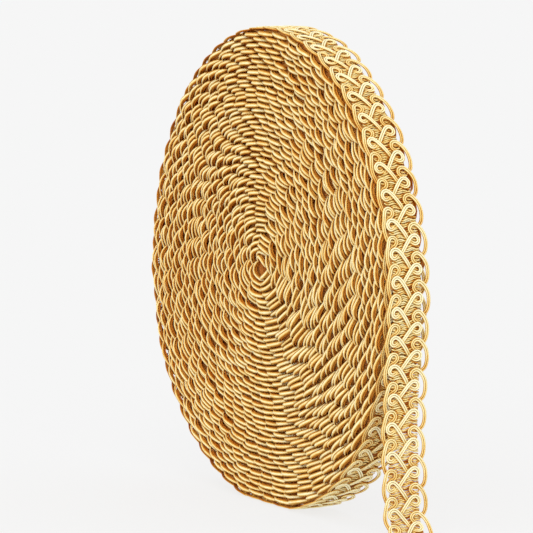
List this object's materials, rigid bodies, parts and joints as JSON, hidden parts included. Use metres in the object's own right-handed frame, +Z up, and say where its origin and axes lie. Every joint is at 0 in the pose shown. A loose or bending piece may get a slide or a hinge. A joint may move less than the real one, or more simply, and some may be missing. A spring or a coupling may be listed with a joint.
{
  "type": "gimp braid trim",
  "caption": "Flat spiral roll of narrow gold gimp braid with scalloped cord edges, standing on its rim, its loose end hanging down to the surface.",
  "frame": {"origin": "middle of the flat spot that the roll rests on", "axes": "+Z up, +Y along the roll's axis from the front face to the back face, +X towards the side where the loose end hangs and lies"},
  "size_m": [0.1674, 0.0164, 0.1313],
  "materials": {
    "wound_braid": "satin rayon cord, gold",
    "loose_braid": "satin rayon cord, pale gold"
  },
  "bodies": {
    "root": {"braid_roll": "wound_braid", "loose_end": "loose_braid"}
  },
  "joints": []
}
